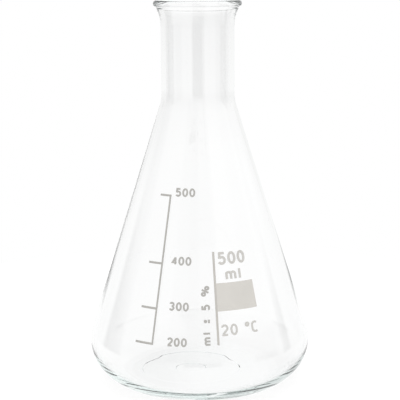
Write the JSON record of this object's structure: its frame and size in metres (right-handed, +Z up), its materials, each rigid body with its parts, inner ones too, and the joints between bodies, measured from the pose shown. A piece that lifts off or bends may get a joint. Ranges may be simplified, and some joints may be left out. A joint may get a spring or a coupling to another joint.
{
  "type": "erlenmeyer flask",
  "caption": "Conical narrow-neck laboratory flask with a beaded lip, an enamel volume scale and a writing panel, for mixing, heating and pouring liquids.",
  "frame": {"origin": "middle of the foot, in the plane that the flask stands on", "axes": "+Z up the flask's axis towards the mouth, -Y towards the printed scale and writing panel, +X to the right when the print is read"},
  "size_m": [0.105, 0.105, 0.18],
  "materials": {
    "glass": "clear borosilicate glass, fire-polished",
    "enamel": "warm pale grey fired ceramic enamel, matte"
  },
  "bodies": {
    "root": {"flask": "glass", "graduation_scale": "enamel", "top_numeral": "enamel", "upper_numeral": "enamel", "lower_numeral": "enamel", "bottom_numeral": "enamel", "capacity_number": "enamel", "capacity_unit": "enamel", "writing_panel": "enamel", "tolerance_legend": "enamel", "temperature_legend": "enamel"}
  },
  "joints": []
}
